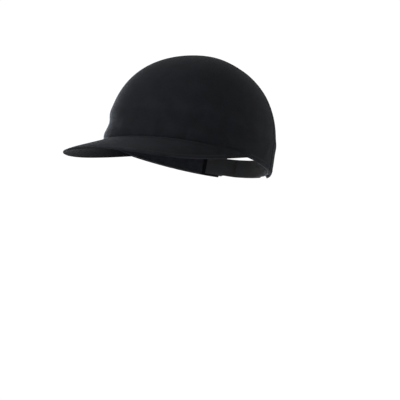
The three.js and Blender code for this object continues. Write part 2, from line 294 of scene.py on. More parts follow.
def woven(name, base, lighter, warp, weft, relief, roughness, sheen, mottle=14.0, fuzz=0.35, faded=None):
    """Cloth of crossing threads: warp and weft are the spacing of the threads, in millimetres."""
    material, tree, shader = start_material(
        name,
        Roughness=roughness,
        Sheen_Weight=sheen,
        Sheen_Roughness=0.45,
        IOR=1.5,
        Specular_IOR_Level=0.06,
    )
    shader.inputs["Sheen Tint"].default_value = linear("#c9d2e0")
    tinted(tree, shader, base, lighter, mottle, faded)
    on_cloth = add_node(tree, "ShaderNodeUVMap", {"uv_map": "UVMap"}).outputs[0]
    split = add_node(tree, "ShaderNodeSeparateXYZ", {}, {0: on_cloth})
    across = threads_along(tree, split.outputs["X"], warp)
    along = threads_along(tree, split.outputs["Y"], weft)
    crossed = add_node(tree, "ShaderNodeMath", {"operation": "MULTIPLY"}, {0: across, 1: along})
    place = add_node(tree, "ShaderNodeTexCoord").outputs["Object"]
    fibres = add_node(
        tree, "ShaderNodeTexNoise", {}, {"Vector": place, "Scale": 1 / (FIBRE_SIZE * MM), "Detail": 2.0}
    )
    height = add_node(
        tree, "ShaderNodeMath", {"operation": "MULTIPLY_ADD"},
        {0: fibres.outputs["Fac"], 1: fuzz * 4, 2: crossed.outputs[0]},
    )
    raised = add_node(tree, "ShaderNodeBump", {}, {"Height": height.outputs[0], "Distance": relief * MM})
    tree.links.new(raised.outputs[0], shader.inputs["Normal"])
    return material


crown_cloth = woven(
    "nylon_plain_weave_black", "#0d0e11", "#111215", 0.9, 0.9, 0.035, 0.85, 0.015, faded="#1a1b1f"
)
lining_cloth = woven("polyester_knit_lining", "#17181b", "#1d1e22", 0.8, 1.1, 0.05, 0.9, 0.04)
sweat_cloth = woven(
    "looped_jersey_sweatband", "#1a1b1f", "#222328", 1.5, 1.5, 0.16, 0.95, 0.06, mottle=6.0, fuzz=0.8
)
label_cloth = woven("satin_woven_label", "#cfcfca", "#dadad6", 0.5, 0.8, 0.03, 0.55, 0.1)
print("made", crown_cloth.name, lining_cloth.name, sweat_cloth.name, label_cloth.name)


# %% [markdown]
# ### Ribbed webbing, and the two tapes of the closure
# Webbing shows as ribs across its length, about 1.1 mm apart. Binding is the same tape folded round a
# raw edge. The loop side of the closure is a mat of fine fibre, and the hook side a dull nylon ground
# on which the hooks stand as real little shapes.

# %% Webbing, loop and hook
def ribbed(name, base, lighter, rib, relief):
    """A tape with ribs across its length, this many millimetres apart."""
    material, tree, shader = start_material(
        name, Roughness=0.7, Sheen_Weight=0.1, Sheen_Roughness=0.4, IOR=1.5, Specular_IOR_Level=0.35
    )
    tinted(tree, shader, base, lighter, 9.0)
    on_cloth = add_node(tree, "ShaderNodeUVMap", {"uv_map": "UVMap"}).outputs[0]
    split = add_node(tree, "ShaderNodeSeparateXYZ", {}, {0: on_cloth})
    ribs = threads_along(tree, split.outputs["X"], rib)
    threads = threads_along(tree, split.outputs["Y"], 0.7)
    height = add_node(tree, "ShaderNodeMath", {"operation": "MULTIPLY_ADD"}, {0: threads, 1: 0.3, 2: ribs})
    raised = add_node(tree, "ShaderNodeBump", {}, {"Height": height.outputs[0], "Distance": relief * MM})
    tree.links.new(raised.outputs[0], shader.inputs["Normal"])
    return material


def matted(name, base, lighter, grain, relief, roughness, sheen):
    """A surface with an even random grain of this size, in millimetres: fibre mat, foam or mould grain."""
    material, tree, shader = start_material(
        name, Roughness=roughness, Sheen_Weight=sheen, Sheen_Roughness=0.5, IOR=1.5
    )
    tinted(tree, shader, base, lighter, 12.0)
    place = add_node(tree, "ShaderNodeTexCoord").outputs["Object"]
    grains = add_node(
        tree, "ShaderNodeTexNoise", {}, {"Vector": place, "Scale": 1 / (grain * MM), "Detail": 3.0}
    )
    raised = add_node(tree, "ShaderNodeBump", {}, {"Height": grains.outputs["Fac"], "Distance": relief * MM})
    tree.links.new(raised.outputs[0], shader.inputs["Normal"])
    return material


webbing = ribbed("polyester_webbing", "#131416", "#191a1d", 1.1, 0.09)
binding_tape = ribbed("folded_binding_tape", "#121316", "#17181b", 1.4, 0.05)
loop_mat = matted("nylon_loop_mat", "#111214", "#1a1b1e", 0.9, 0.35, 0.95, 0.5)
hook_ground = matted("nylon_hook_ground", "#0f1012", "#141517", 0.6, 0.08, 0.6, 0.0)
print("made", webbing.name, binding_tape.name, loop_mat.name, hook_ground.name)

# %% [markdown]
# ### Moulded and foamed materials
# The shell is injection-moulded ABS from a spark-eroded mould, which leaves an even fine grain and a
# soft, wide highlight. Its edge trim is a dull soft elastomer. The pads are closed-cell EVA foam, whose
# cut skin shows cells of about half a millimetre, drawn at 0.9 mm so that they show. Sewing thread is
# spun, so it is dull and slightly hairy.

# %% Moulded and foamed materials
abs_shell = matted("abs_spark_grained", "#1e2024", "#24262a", 0.7, 0.05, 0.42, 0.0)
elastomer_trim = matted("elastomer_edge_trim", "#101113", "#141518", 0.5, 0.02, 0.5, 0.0)
eva_foam = matted("eva_closed_cell_foam", "#26282c", "#2e3035", 0.9, 0.12, 0.85, 0.15)
visor_board = matted("polyethylene_board", "#222326", "#28292c", 1.2, 0.03, 0.5, 0.0)
thread = matted("spun_polyester_thread", "#0d0e10", "#121315", 0.4, 0.03, 0.85, 0.0)
pale_thread = matted("pale_label_thread", "#bdbdb8", "#c8c8c3", 0.4, 0.03, 0.7, 0.1)
print("made", abs_shell.name, elastomer_trim.name, eva_foam.name, visor_board.name)
print("made", thread.name, pale_thread.name)

# %% [markdown]
# ## The crown
# Three panels make the crown: a wide one round the front and two at the back. Worn cloth shows what is
# under it and how it is held, so the form gets small real displacements: a faint swelling where the
# cloth passes over the edge of the shell, a slant below it towards the visor, a hem that rolls in at the
# rim, a dip along each seam, and a few soft folds near the corner of the visor, where the stiff visor
# pulls at the cloth.

# %% How the cloth stands off the form
SIDE_SEAM = 119.0
CLOTH = 1.3
FOLDS = [  # from (azimuth, height) to (azimuth, height), half-width in mm, how far it stands out in mm
    ((53.0, 25.0), (68.0, 7.0), 2.6, 0.75),
    ((47.0, 20.0), (60.0, 3.0), 3.0, -0.45),
    ((72.0, 15.0), (92.0, 20.5), 2.2, -0.7),
    ((56.0, 2.5), (84.0, 3.5), 2.4, -0.9),
    ((74.0, 22.0), (94.0, 29.0), 4.0, 0.5),
    ((34.5, 15.0), (36.0, 0.0), 1.6, -0.55),
    ((12.0, 30.0), (16.0, 0.0), 4.0, 0.5),
    ((20.0, 24.0), (24.0, 0.0), 4.0, -0.25),
    ((-12.0, 22.0), (-9.0, 0.0), 4.5, 0.35),
    ((-62.0, 22.0), (-76.0, 8.0), 3.0, 0.5),
    ((-80.0, 16.0), (-98.0, 22.0), 3.0, -0.5),
    ((104.0, 8.0), (112.0, 26.0), 4.0, 0.4),
    ((-104.0, 10.0), (-111.0, 28.0), 4.0, 0.35),
]
FOLD_STRENGTH = 1.5
MM_PER_DEGREE = 1.55  # round the crown's wall


def stand_off(azimuth, height):
    """How far the cloth stands out from the smooth form, in millimetres."""
    azimuth = (azimuth + 180) % 360 - 180
    over_visor = np.clip(1.4 * np.cos(np.radians(azimuth)), 0, 1)
    out = 0.8 * np.exp(-(((height - 31) / 6) ** 2))
    out = out - over_visor * 1.8 * np.exp(-(((height - 22) / 9) ** 2))
    out = out + over_visor * 0.9 * np.exp(-(((height - 7) / 4.5) ** 2))
    out = out - (0.9 + 0.9 * over_visor) * np.clip(1 - height / 3.5, 0, 1) ** 2
    for seam in (SIDE_SEAM, -SIDE_SEAM, 180.0, -180.0):
        away = (azimuth - seam) * MM_PER_DEGREE * np.sqrt(np.clip(1 - (height / CROWN_HEIGHT) ** 2, 0, 1))
        out = out - 0.45 * np.exp(-((away / 1.5) ** 2)) + 0.2 * np.exp(-((np.abs(away) - 5) / 3) ** 2)
    for (a0, h0), (a1, h1), width, depth in FOLDS:
        start = np.array([a0 * MM_PER_DEGREE, h0])
        line = np.array([a1 * MM_PER_DEGREE, h1]) - start
        here = np.stack([azimuth * MM_PER_DEGREE, height], -1) - start
        along = np.clip(here @ line / (line @ line), 0, 1)
        gap = np.linalg.norm(here - along[..., None] * line, axis=-1)
        fade = 0.35 + 0.65 * np.sin(np.pi * np.clip(along, 0.02, 0.98))
        out = out + FOLD_STRENGTH * depth * fade * np.exp(-((gap / width) ** 2))
    return out


def crown_cloth_point(azimuth, climb, inset=0.0):
    """A point of the worn cloth."""
    height = crown_point(azimuth, climb)[..., 2]
    return crown_point(azimuth, climb, inset - stand_off(azimuth, height))


print("the side seams dip by", round(-float(stand_off(np.array(SIDE_SEAM), np.array(60.0))), 2), "mm")

# %% [markdown]
# A panel is laid as a fan that narrows to the top of the crown, where its last row closes to a point.
# The arched opening is cut out of the two rear panels with a rounded bar: a cylinder on its side, whose
# lower half is pulled straight down.

# %% Panels and the opening
ARCH_HALF_WIDTH = 36.0
ARCH_SPRING = 11.0
ARCH_RISE = 36.0
BELOW_HEM = 20.0  # how far the cutting bar is pulled down, past the hem
COLUMN_WIDTH = 1.25  # in degrees
PANEL_ROWS = 96


def crown_panel(name, start, end):
    """A panel between two azimuths."""
    columns = max(8, round((end - start) / COLUMN_WIDTH))

    def place_on_crown(u, v):
        return start + (end - start) * u, 90 * v**ROW_SPREAD

    def place(u, v):
        return crown_cloth_point(*place_on_crown(u, v))

    def cloth(u, v):
        azimuth, climb = place_on_crown(u, v)
        reach = (90 - climb) * MM_PER_DEGREE
        return np.stack([np.sin(np.radians(azimuth)), np.cos(np.radians(azimuth))], -1) * reach[:, None]

    def worn(u, v):
        """Most at the hem, and a little over the edge of the shell."""
        height = crown_point(0, place_on_crown(u, v)[1])[:, 2]
        return np.exp(-((height / 3) ** 2)) + 0.15 * np.exp(-(((height - 33) / 8) ** 2))

    return thicken(lay(name, columns, PANEL_ROWS, place, cloth, worn), CLOTH, 0.35, 2)


def arch_bar():
    """A bar along the cap, with the opening's outline, that starts inside the crown and ends behind it."""
    bpy.ops.object.select_all(action="DESELECT")
    bpy.ops.mesh.primitive_cylinder_add(vertices=128, radius=1, depth=1, rotation=(math.radians(90), 0, 0))
    bar = bpy.context.object
    bpy.ops.object.transform_apply(location=False, rotation=True, scale=False)
    points = np.empty(len(bar.data.vertices) * 3)
    bar.data.vertices.foreach_get("co", points)
    x, y, z = points.reshape(-1, 3).T
    low = np.where(z < -1e-6, -BELOW_HEM - ARCH_SPRING, z * ARCH_RISE)
    placed = np.stack([x * ARCH_HALF_WIDTH, HALF_LENGTH + y * HALF_LENGTH, low + ARCH_SPRING], -1)
    bar.data.vertices.foreach_set("co", in_frame(placed).ravel())
    bar.data.update()
    return bar


front_panel = crown_panel("crown_front_panel", -SIDE_SEAM, SIDE_SEAM)
settle(front_panel, "cap", "crown_fabric", crown_cloth, "front_panel")
for side, start, end in (("left", SIDE_SEAM, 180.0), ("right", 180.0, 360.0 - SIDE_SEAM)):
    opened = cut_with(crown_panel(f"crown_{side}_rear_panel", start, end), arch_bar())
    settle(opened, "cap", "crown_fabric", crown_cloth, f"{side}_rear_panel")

# %% [markdown]
# ## The visor
# A stiff board gives the visor its form: its upper side is a fan of straight lines from the seam on
# the crown to the outer edge. The cloth over it is drawn round the edge and sewn to the under cover, so
# the top cover's section is a straight top, half a turn round the edge, and a narrow lip underneath.

# %% The visor's lines
VISOR_CORNER = 85.0
VISOR_EVENNESS = 1.45
VISOR_EDGE = np.array([[0, -148.3, -24.9], [69, -148.3, -24.9], [87.9, -125, -34.7]])
SEAM_DROP = -0.3
EDGE_RADIUS = 0.85
EDGE_SINK = 0.75  # how far the upper side sinks towards the edge
VISOR_DEPTH = 3.1
TUCKED_IN = 3.2  # how far the cloth reaches in under the crown


def visor_ends(share):
    """Where each line of the fan leaves the crown and where it ends, for the wearer's left half."""
    seam = crown_point(share * VISOR_CORNER, 0, SEAM_DROP)
    seam[..., 2] = SEAM_DROP
    corner = crown_point(VISOR_CORNER, 0, SEAM_DROP)
    corner[2] = SEAM_DROP
    t = (1 - np.clip(1 - share, 0, 1) ** VISOR_EVENNESS)[..., None]
    a, b, c = VISOR_EDGE
    edge = (1 - t) ** 3 * a + 3 * t * (1 - t) ** 2 * b + 3 * t**2 * (1 - t) * c + t**3 * corner
    return seam, edge


def visor_lines(station):
    """Each line's start, direction, length and upward normal. Stations run from -1 to 1, right to left."""
    share = np.clip(np.abs(station), 0, 0.997)
    side = np.where(station < 0, -1.0, 1.0)
    seam, edge = visor_ends(share)
    ahead = np.mean(visor_ends(np.clip(share + 0.01, 0, 1)), axis=0)
    behind_it = np.mean(visor_ends(np.clip(share - 0.01, 0, 1)), axis=0)
    along = ahead - behind_it
    up = np.cross(along, seam - edge)
    up /= np.linalg.norm(up, axis=-1, keepdims=True)
    length = np.linalg.norm(edge - seam, axis=-1)
    mirror = np.stack([side, np.ones_like(side), np.ones_like(side)], -1)
    return seam * mirror, (edge - seam) / length[:, None] * mirror, length, up * mirror


print("in the middle the visor reaches out by", round(float(visor_lines(np.array([0.0]))[2][0])), "mm")

# %% [markdown]
# The top cover is laid in one piece from under the hem, over the top and round the edge. The under
# cover fills the space inside its lip, and its outer side faces down, so it is laid from left to right.
# Between them lies the board. The whole visor thins towards its edge, where the cloth is drawn tight.

# %% Top cover and under cover
COVER_THICKNESS = 0.6
COVER_WIDTH, COVER_LENGTH = 230.0, 75.0


def visor_cloth_map(u, v):
    """Where each point was on the flat cloth, in millimetres."""
    return np.stack([(u - 0.5) * COVER_WIDTH, v * COVER_LENGTH], -1)


def visor_faces(length, away):
    """How deep the visor's upper and under sides lie at this distance from the seam."""
    near_edge = np.exp(-((np.clip(length - away, 0, None) / 7) ** 2))
    near_edge = near_edge * np.clip(length / 12, 0, 1)
    upper = EDGE_SINK * near_edge
    under = VISOR_DEPTH + (EDGE_SINK + 2 * EDGE_RADIUS - VISOR_DEPTH) * near_edge
    return upper, under


def top_cover_section(u, v):
    """v runs from the lip underneath, round the edge, to the seam."""
    station = np.clip(2 * u - 1, -0.997, 0.997)
    lip, rounding = 0.06, 0.30
    seam, direction, length, up = visor_lines(station)
    radius = np.minimum(EDGE_RADIUS, 0.4 * length)
    around = np.radians(180 * np.clip((rounding - v) / (rounding - lip), 0, 1))
    top = -TUCKED_IN + (length - radius + TUCKED_IN) * (1 - np.clip((v - rounding) / (1 - rounding), 0, 1))
    under = -1.0 * np.clip((lip - v) / lip, 0, 1)
    away = np.where(v < rounding, length - radius + radius * np.sin(around) + under, top)
    upper, lower = visor_faces(length, away)
    round_edge = (upper + lower) / 2 - (lower - upper) / 2 * np.cos(around)
    depth = np.where(v < rounding, round_edge, upper)
    soft = 0.2 * np.sin(np.pi * np.clip((v - rounding) / (1 - rounding), 0, 1))
    lip_over_seam = 0.55 * np.exp(-(((away - 3.4) / 1.8) ** 2)) * np.clip(length / 12, 0, 1)
    return seam + direction * away[:, None] - up * (depth - soft - lip_over_seam)[:, None]


def under_cover_place(u, v):
    """The under cover's outside."""
    station = np.clip(1 - 2 * u, -0.99, 0.99) * 0.99
    seam, direction, length, up = visor_lines(station)
    radius = np.minimum(EDGE_RADIUS, 0.4 * length)
    away = -TUCKED_IN + v * np.maximum(length - radius - 0.1 + TUCKED_IN, 0.2)
    depth = visor_faces(length, away)[1] - 0.15 + 0.15 * np.sin(np.pi * v)
    return seam + direction * away[:, None] - up * depth[:, None]


def board_place(u, v):
    """The board's upper side, a little under the top cloth."""
    station = np.clip(1 - 2 * u, -0.94, 0.94) * 0.94
    seam, direction, length, up = visor_lines(station)
    away = 1.0 + (1 - v) * np.maximum(length - 4.0, 0.3)
    depth = visor_faces(length, away)[0] + 0.7
    return seam + direction * away[:, None] - up * depth[:, None]


def worn_edge(u, v):
    """Most where the cloth turns round the edge."""
    return np.exp(-(((v - 0.2) / 0.12) ** 2))


top_cover = lay("visor_top_cloth", 200, 64, top_cover_section, visor_cloth_map, worn_edge)
settle(thicken(top_cover, COVER_THICKNESS), "cap", "crown_fabric", crown_cloth, "visor_top_cover")
under_cover = lay("visor_under_cloth", 200, 24, under_cover_place, visor_cloth_map)
under_cover = thicken(under_cover, COVER_THICKNESS, 0.2, 2)
settle(under_cover, "cap", "crown_fabric", crown_cloth, "visor_under_cover")
board = thicken(lay("visor_stiff_board", 160, 20, board_place), 0.7, 0.2, 2)
settle(board, "cap", "board", visor_board, "visor_board")

# %% [markdown]
# ## Bands inside the crown
# The sweatband, the tapes over the seams, the patches and the label are all straight strips of cloth
# sewn flat against the inside. One function lays such a strip between two azimuths and two heights,
# with rounded corners where the real one is cut round. Where the outer cloth is pushed in, they go in too.

# %% A strip on the crown
PATCHES = (("left", 72, 100), ("right", 260, 288))
PATCH_HEIGHTS = (42, 64)


def inside_cloth(azimuth, height, inset):
    """A point inside the crown, further in where the cloth goes in."""
    return crown_point(azimuth, climb_at(height), inset - np.minimum(stand_off(azimuth, height), 0))


def strip(name, start, end, low, high, inset, thickness, rounding=0.2, corner=0.0, rows=12, ripple=0.0):
    """A band of cloth whose outer face lies at this inset. Corner is the radius of its corners, in mm."""
    length = abs(end - start) * MM_PER_DEGREE
    columns = max(6, round(length / 2.0))
    half = np.array([length, high - low]) / 2

    def place(u, v):
        x, y = (2 * u - 1) * half[0], (2 * v - 1) * half[1]
        if corner:
            over = np.clip(np.abs(y) - (half[1] - corner), 0, corner)
            x = x * (half[0] - corner + np.sqrt(np.maximum(corner**2 - over**2, 0))) / half[0]
        azimuth = (start + end) / 2 + x / half[0] * (end - start) / 2
        wave = ripple * np.sin(azimuth * 0.31) * np.sin(v * np.pi)
        return inside_cloth(azimuth, (low + high) / 2 + y, inset + wave)

    def cloth(u, v):
        return np.stack([u * length, v * (high - low)], -1)

    return thicken(lay(name, columns, rows, place, cloth), thickness, rounding)


sweatband = strip("sweatband_jersey", -140, 140, 0.4, 28, 1.6, 1.8, 0.75, rows=20, ripple=0.12)
settle(sweatband, "cap", "lining", sweat_cloth, "sweatband")
for name, at, low in (("left", SIDE_SEAM, 31), ("right", 360 - SIDE_SEAM, 31), ("rear", 180, 51)):
    tape = strip(f"{name}_seam_cover", at - 3.5, at + 3.5, low, 104, 1.6, 0.5, 0.15, rows=60)
    settle(tape, "cap", "lining", lining_cloth, f"{name}_seam_tape")
label = strip("care_label_satin", 110, 124, 3, 18, 3.7, 0.25, 0.08, 0.8)
settle(label, "cap", "label", label_cloth, "care_label")
for side, start, end in PATCHES:
    patch = strip(f"{side}_loop_pad", start, end, *PATCH_HEIGHTS, 1.6, 1.1, 0.25, 3.0)
    settle(patch, "cap", "hook_and_loop", loop_mat, f"{side}_loop_patch")

# %% [markdown]
# ## The binding of the opening
# A folded tape covers the raw edge of the arched opening. Its section is a rounded bar, swept along
# the arch, so its grid is rolled into a tube whose ends are drawn to a point to close them.

# %% Sweep along the arch
TAPE_BOXINESS = 0.55
azimuths_behind = np.linspace(120, 240, 2401)
sideways_behind = crown_point(azimuths_behind, 0, 0)[:, 0] / HALF_WIDTH


def behind(x, z, inset):
    """The point on the back of the crown at this width and height."""
    climb = climb_at(z)
    share = x / ((HALF_WIDTH - inset) * np.cos(np.radians(climb)))
    azimuth = np.interp(-share, -sideways_behind, azimuths_behind)
    return crown_point(azimuth, climb, inset)


def arch_outline(along, offset):
    """Points of the arch, from its left foot to its right one, moved in by an offset in millimetres."""
    foot = 1.5
    straight = ARCH_SPRING - foot
    bend = np.pi * ARCH_RISE
    total = 2 * straight + bend
    s = along * total
    angle = np.clip((s - straight) / ARCH_RISE, 0, np.pi)
    x = (ARCH_HALF_WIDTH - offset) * np.cos(angle)
    z = ARCH_SPRING + (ARCH_RISE - offset) * np.sin(angle)
    z = z - np.clip(straight - s, 0, None) - np.clip(s - straight - bend, 0, None)
    return x, z


def binding_place(u, v):
    """u runs along the arch and v round the tape's section, which is a rectangle with very round corners."""
    closing = np.where((u < 1e-6) | (u > 1 - 1e-6), 0.0, 1.0)
    across, through = np.cos(-2 * np.pi * v), np.sin(-2 * np.pi * v)
    offset = 1.35 + 2.0 * np.sign(across) * np.abs(across) ** TAPE_BOXINESS * closing
    inset = 0.65 + 1.4 * np.sign(through) * np.abs(through) ** TAPE_BOXINESS * closing
    x, z = arch_outline(u, offset)
    return behind(x, np.maximum(z, 0), inset)


binding = lay("opening_binding", 150, 24, binding_place, lambda u, v: np.stack([u * 134, v * 10], -1))
settle(apply_all(binding), "cap", "webbing", binding_tape, "rear_opening_binding")

# %% [markdown]
# ## The strap closure
# Two lengths of webbing cross the opening. The inner one is fixed and carries the loop tape. The outer one
# is sewn in on the wearer's right and lies over it, and its free part peels open. It is one piece of
# webbing, and the hook tape under it rides on the strap's body.

# %% Straps and tapes
STRAP_LOW, STRAP_HIGH = 2.5, 22.5
TAPE_HEIGHTS = (4.0, 21.0)
WEBBING = 1.0  # its thickness
STRAP_INSET = 2.7
STRAP_RISE = 3.1  # how much further out the outer strap lies than the inner one
STRAP_HINGE = 202.0
STRAP_CLIMB = 9.0  # over how many degrees it gets there
HALF_BEND = 2.2  # half the stretch that bends, in degrees


def strap(name, tip, root, inset_at, thickness, corner, low=STRAP_LOW, high=STRAP_HIGH):
    """A band from its rounded tip to its sewn root. Its inset is a function of the azimuth."""
    length = abs(root - tip) * MM_PER_DEGREE
    half = (high - low) / 2

    def place(u, v):
        y = (2 * v - 1) * half
        over = np.clip(np.abs(y) - (half - corner), 0, corner)
        cut_back = corner - np.sqrt(np.maximum(corner**2 - over**2, 0))
        forward = u if tip > root else 1 - u
        x = forward * (length - cut_back)
        azimuth = root + (tip - root) * x / length
        return crown_point(azimuth, climb_at((low + high) / 2 + y), inset_at(azimuth))

    def cloth(u, v):
        return np.stack([u * length, v * (high - low)], -1)

    return thicken(lay(name, max(8, round(length / 1.2)), 14, place, cloth), thickness, 0.25)


def outer_inset(azimuth):
    """The outer strap climbs out of the crown at its root and then lies over the inner one."""
    share = np.clip((STRAP_HINGE - azimuth) / STRAP_CLIMB, 0, 1)
    share = share * share * (3 - 2 * share)
    return STRAP_INSET - STRAP_RISE * share


def even(inset):
    """The same inset at every azimuth."""
    return lambda azimuth: np.full_like(azimuth, inset)


inner = strap("inner_strap_webbing", 192, 143, even(STRAP_INSET), WEBBING, 4.0)
settle(inner, "cap", "webbing", webbing, "inner_strap")
loops = strap("loop_tape_mat", 190, 167, even(1.8), 0.9, 2.5, *TAPE_HEIGHTS)
settle(loops, "cap", "hook_and_loop", loop_mat, "loop_tape")
outer = strap("outer_strap_webbing", 164, 217, outer_inset, WEBBING, 5.0)
bend = np.array([STRAP_HINGE + HALF_BEND, STRAP_HINGE - HALF_BEND])
hinge = in_frame(crown_point(bend, climb_at((STRAP_LOW + STRAP_HIGH) / 2), 2.5))
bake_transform(outer)
settle(outer, None, "webbing", webbing, "outer_strap", "outer_strap_root")
hooks = strap("hook_tape_ground", 166, 191, even(0.6), 0.7, 2.5, *TAPE_HEIGHTS)
settle(hooks, "strap", "hook_and_loop", hook_ground, "hook_tape")

# %% [markdown]
# ## The hard shell
# The shell is one moulding, 2.2 mm thick, with two rings of slots that let air through. It is laid like
# a crown panel that goes all the way round, then thickened, and all its slots are cut in one boolean
# by rounded bars that are modelled once and laid in their places.

# %% Shell and slots
SHELL_OUTER, SHELL_WALL = 5.0, 2.2
SHELL_EDGE = 31.0


def slot_bar(azimuth, half_width, low, high):
    """A rounded bar through the shell's wall."""
    half_height = (high - low) / 2
    corner = half_width * MM_PER_DEGREE * 0.98

    def place(u, v):
        y = (2 * v - 1) * half_height
        over = np.clip(np.abs(y) - (half_height - corner), 0, corner)
        width = half_width * np.sqrt(np.maximum(1 - (over / corner) ** 2, 0))
        return crown_point(azimuth + (2 * u - 1) * width, climb_at((low + high) / 2 + y), SHELL_OUTER - 1)

    return thicken(lay("slot_bar", 4, 24, place), SHELL_WALL + 2)


def shell_place(u, v):
    """The shell's outside, once round, from its edge to the top."""
    low = climb_at(SHELL_EDGE)
    return crown_point(360 * u, low + (90 - low) * v, SHELL_OUTER)


UPPER_SLOTS = range(15, 360, 30)
LOWER_SLOTS = (48, 128, 232, 312)
bars = [slot_bar(azimuth, 2.5, 76, 95) for azimuth in UPPER_SLOTS]
bars += [slot_bar(azimuth, 3.5, 46, 60) for azimuth in LOWER_SLOTS]
bpy.ops.object.select_all(action="DESELECT")
for bar in bars:
    bar.select_set(True)
bpy.context.view_layer.objects.active = bars[0]
bpy.ops.object.join()
shell = thicken(lay("shell_moulding", 180, 48, shell_place), SHELL_WALL, 0.4, 2)
settle(cut_with(shell, bars[0]), "insert", "shell", abs_shell, "shell")


def trim_place(u, v):
    """A channel round the shell's edge: down its outside, under it and up its inside."""
    outer, inner, low, high = 4.0, 8.2, 29.0, 36.0
    side = 0.3  # the share of the section that each of the two sides takes
    middle, radius = (outer + inner) / 2, (inner - outer) / 2
    around = np.pi * np.clip((1 - v - side) / (1 - 2 * side), 0, 1)
    inset = middle - radius * np.cos(around)
    height = low + radius - radius * np.sin(around)
    up_a_side = np.clip(np.maximum(side - (1 - v), side - v) / side, 0, 1)
    return crown_point(360 * u, climb_at(height + (high - low - radius) * up_a_side), inset)


trim = lay("shell_trim_channel", 180, 24, trim_place)
settle(thicken(trim, 0.7, 0.2, 2), "insert", "edge_trim", elastomer_trim, "shell_edge_trim")

# %% [markdown]
# ## The foam pads
# Four pads ring the head and a round one sits at the top. Each is die-cut foam with a soft rounded
# face, so each is a thick rounded block whose inner face swells a little. A short cloth simulation with
# pressure gives that swelling, with the glued face held still, and no point may move further than a set
# limit. The loop patches in the crown meet hook patches on the shell, which hold it in.

# %% Pads
PAD_OUTER, PAD_DEPTH = 7.7, 5.4
PAD_HEIGHT, PAD_MIDDLE, PAD_CORNER = 23.0, 50.5, 7.0
CROWN_PAD_LOW = 102
SWELL_STEPS = 20
SWELL_LIMIT = 0.9
HELD_WITHIN = 2.2  # of the glued face


def swell(piece, held, limit):
    """Blows the piece up a little as cloth, except where it is held, and keeps every move under a limit."""
    rest = np.empty(len(piece.data.vertices) * 3)
    piece.data.vertices.foreach_get("co", rest)
    rest = rest.reshape(-1, 3)
    group = piece.vertex_groups.new(name="held")
    group.add([int(i) for i in np.nonzero(held)[0]], 1.0, "REPLACE")
    cloth = piece.modifiers.new("swelling", "CLOTH")
    cloth.settings.use_pressure = True
    cloth.settings.uniform_pressure_force = 4.0
    cloth.settings.tension_stiffness = 12
    cloth.settings.compression_stiffness = 12
    cloth.settings.vertex_group_mass = "held"
    cloth.settings.effector_weights.gravity = 0
    cloth.point_cache.frame_start, cloth.point_cache.frame_end = 1, SWELL_STEPS
    for step in range(1, SWELL_STEPS + 1):
        bpy.context.scene.frame_set(step)
    graph = bpy.context.evaluated_depsgraph_get()
    blown = np.empty(len(rest) * 3)
    piece.evaluated_get(graph).data.vertices.foreach_get("co", blown)
    move = blown.reshape(-1, 3) - rest
    far = np.linalg.norm(move, axis=1, keepdims=True)
    move = move * np.minimum(1, limit * MM / np.maximum(far, 1e-9))
    piece.modifiers.remove(cloth)
    piece.vertex_groups.clear()
    piece.data.vertices.foreach_set("co", (rest + move).ravel())
    piece.data.update()
    bpy.context.scene.frame_set(1)
    return float(far.max() / MM)


def foam_pad(name, place, columns, rows, node):
    """A block of foam whose outer face lies where place says, with its inner face swelled."""
    piece = thicken(lay(name, columns, rows, place), PAD_DEPTH, 1.8, 4)
    points = np.array([v.co for v in piece.data.vertices])
    glued = lay("glued_face", columns, rows, place)
    face = np.array([v.co for v in glued.data.vertices])
    bpy.data.objects.remove(glued)
    nearest = np.min(np.linalg.norm(points[:, None] - face[None], axis=2), axis=1)
    pushed = swell(piece, nearest < HELD_WITHIN * MM, SWELL_LIMIT)
    print(name, "was pushed by up to", round(pushed, 2), "mm")
    apply_all(piece)
    settle(piece, "insert", "foam", eva_foam, node)
    return piece


def pad_place(start, end):
    """Where a ring pad's outer face lies, between two azimuths."""
    half = np.array([(end - start) * MM_PER_DEGREE, PAD_HEIGHT]) / 2

    def place(u, v):
        x, y = (2 * u - 1) * half[0], (2 * v - 1) * half[1]
        over = np.clip(np.abs(y) - (half[1] - PAD_CORNER), 0, PAD_CORNER)
        x = x * (half[0] - PAD_CORNER + np.sqrt(np.maximum(PAD_CORNER**2 - over**2, 0))) / half[0]
        azimuth = (start + end) / 2 + x / half[0] * (end - start) / 2
        return crown_point(azimuth, climb_at(PAD_MIDDLE + y), PAD_OUTER)

    return place


def crown_pad_place(u, v):
    """The round pad's outer face."""
    low = climb_at(CROWN_PAD_LOW)
    return crown_point(360 * u, low + (90 - low) * v, PAD_OUTER)


RING_PADS = (("front", -38, 38, 48), ("left", 58, 104, 30), ("rear", 150, 210, 38), ("right", 256, 302, 30))
for where, start, end, columns in RING_PADS:
    foam_pad(f"{where}_foam", pad_place(start, end), columns, 12, f"{where}_pad")
foam_pad("crown_foam", crown_pad_place, 48, 14, "crown_pad")
for side, start, end in PATCHES:
    patch = strip(f"{side}_hook_pad", start, end, *PATCH_HEIGHTS, 3.6, 1.2, 0.2, 3.0)
    settle(patch, "insert", "hook_and_loop", hook_ground, f"{side}_hook_patch")

# %% [markdown]
# ## Stitching
# Every seam is sewn with black thread, three millimetres to the stitch. A bump pattern could only hint
# at thread, so it is modelled. One stitch is a small closed ball drawn long, and each row is made of
# copies of it, each with its own mesh, turned along the row and joined to one piece. Rows lie beside the
# seams, along the hem, the visor's edge and the binding, on the sweatband and the straps, and round the
# loop patches.

# %% Copies along a line
STITCH_PITCH = 3.0
STITCH_SIZE = (2.4, 0.45, 0.3)  # length, width and height


